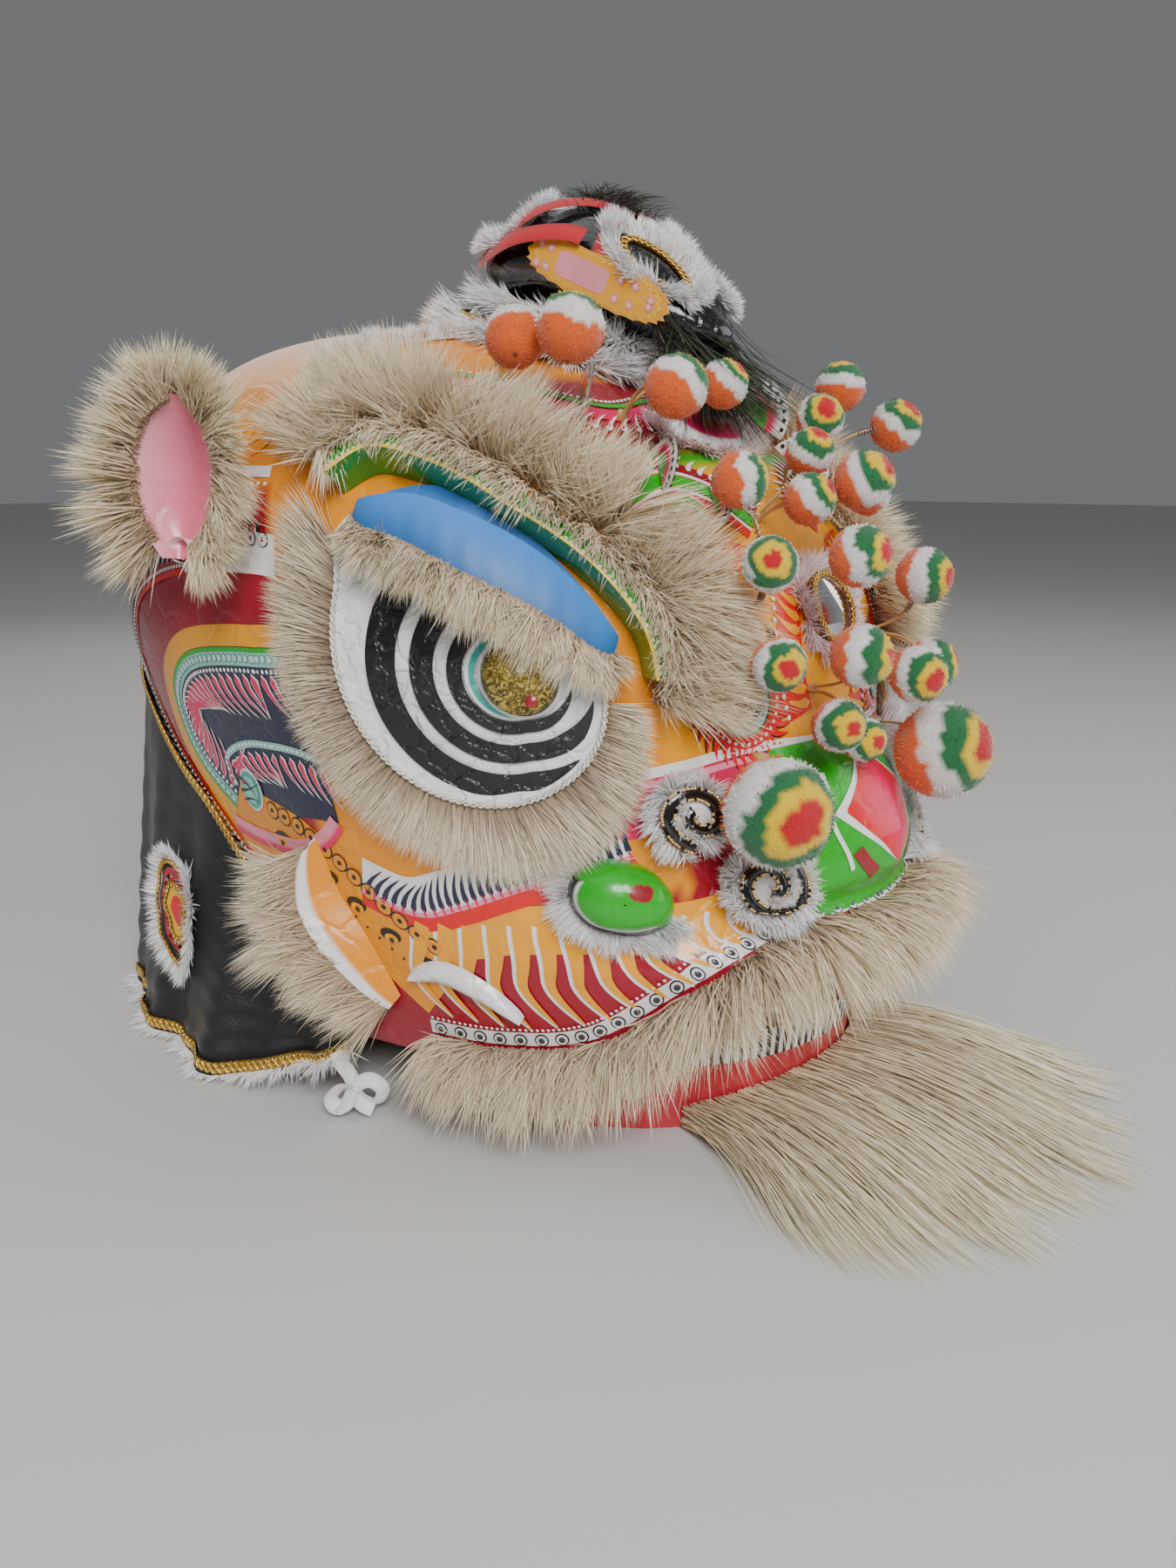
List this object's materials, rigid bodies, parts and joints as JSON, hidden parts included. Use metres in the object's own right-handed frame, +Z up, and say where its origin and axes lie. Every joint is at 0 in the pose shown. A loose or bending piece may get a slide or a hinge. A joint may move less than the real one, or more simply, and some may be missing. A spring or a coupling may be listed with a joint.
{
  "type": "lion dance head",
  "caption": "Hollow papier-mache lion dance head with curved horn, fur-trimmed eyes, ears and lip, hinged jaw with beard, pompoms on springs and a satin curtain.",
  "frame": {"origin": "middle of the underside of the whole head, where it rests on the floor", "axes": "+Z up, the lion looks along -Y and its own right side is at -X"},
  "size_m": [0.6586, 0.8354, 0.6322],
  "materials": {
    "beige_fur": "long beige sheep fur",
    "black_hair": "long black hair",
    "black_lacquer": "black gloss lacquer on papier-mache",
    "black_satin": "satin",
    "blue_satin": "satin over a stiff band",
    "card": "printed card",
    "clear_plastic": "clear blown dome",
    "cream_hair": "long cream horse hair",
    "green_lacquer": "lacquered papier-mache",
    "papier_mache": "lacquered papier-mache, painted",
    "pink_lacquer": "painted papier-mache",
    "red_lacquer": "lacquered papier-mache",
    "red_ribbon": "woven tape",
    "silver_glass": "silvered glass",
    "white_fur": "white rabbit fur",
    "white_lacquer": "painted papier-mache",
    "wool": "cut wool pile"
  },
  "bodies": {
    "head": {"brow_fur_left": "beige_fur", "brow_fur_right": "beige_fur", "brow_left": "green_lacquer", "brow_right": "green_lacquer", "cheek_flap_left": "white_lacquer", "cheek_flap_right": "white_lacquer", "cheek_fur_left": "beige_fur", "cheek_fur_right": "beige_fur", "eye_bulb_left": "clear_plastic", "eye_bulb_right": "clear_plastic", "eye_dish_left": "white_lacquer", "eye_dish_right": "white_lacquer", "fin_large_left": "green_lacquer", "fin_large_right": "green_lacquer", "fin_small_left": "green_lacquer", "fin_small_right": "green_lacquer", "forehead_ornament": "pink_lacquer", "horn_base": "black_lacquer", "horn_card": "card", "horn_fringe": "black_hair", "horn_fur_lower": "white_fur", "horn_fur_middle": "white_fur", "horn_ribbon": "red_ribbon", "horn_top": "black_lacquer", "horn_tuft": "black_hair", "lash_fringe_left": "beige_fur", "lash_fringe_right": "beige_fur", "lip_fur": "beige_fur", "mirror": "silver_glass", "mirror_fur": "white_fur", "nose": "green_lacquer", "nose_roll_lower_left": "white_fur", "nose_roll_lower_right": "white_fur", "nose_roll_upper_left": "white_fur", "nose_roll_upper_right": "white_fur", "nose_wing_left": "green_lacquer", "nose_wing_right": "green_lacquer", "pompom_nose_left": "wool", "pompom_nose_right": "wool", "pompoms_bridge_left": "wool", "pompoms_bridge_right": "wool", "pompoms_brow_left": "wool", "pompoms_brow_right": "wool", "pompoms_crown": "wool", "pompoms_forehead": "wool", "pompoms_low": "wool", "shell": "papier_mache", "tail_cloth": "black_satin", "tusk_left": "white_lacquer", "tusk_right": "white_lacquer"},
    "jaw": {"lower_jaw": "red_lacquer", "beard": "cream_hair"},
    "eyelid_right": {"eyelid_right": "blue_satin", "eyelid_fur_right": "beige_fur"},
    "eyelid_left": {"eyelid_left": "blue_satin", "eyelid_fur_left": "beige_fur"},
    "ear_right": {"ear_right": "pink_lacquer", "ear_fur_right": "beige_fur"},
    "ear_left": {"ear_left": "pink_lacquer", "ear_fur_left": "beige_fur"}
  },
  "joints": [
    {"name": "jaw_hinge", "type": "hinge", "parent": "head", "child": "jaw", "pos_m": [0, 0.02687, 0.066], "axis": [1, 0, 0], "range_deg": [-12, 14]},
    {"name": "eyelid_right_hinge", "type": "hinge", "parent": "head", "child": "eyelid_right", "pos_m": [-0.1947, -0.07196, 0.37201], "axis": [-0.4516, 0.7768, 0.4389], "range_deg": [0, 16]},
    {"name": "eyelid_left_hinge", "type": "hinge", "parent": "head", "child": "eyelid_left", "pos_m": [0.1947, -0.07196, 0.37201], "axis": [-0.4516, -0.7768, -0.4389], "range_deg": [0, 16]},
    {"name": "ear_right_hinge", "type": "hinge", "parent": "head", "child": "ear_right", "pos_m": [-0.27772, 0.09902, 0.37683], "axis": [0, 0.2, -0.9798], "range_deg": [0, 14]},
    {"name": "ear_left_hinge", "type": "hinge", "parent": "head", "child": "ear_left", "pos_m": [0.27772, 0.09902, 0.37683], "axis": [0, -0.2, 0.9798], "range_deg": [0, 14]}
  ]
}
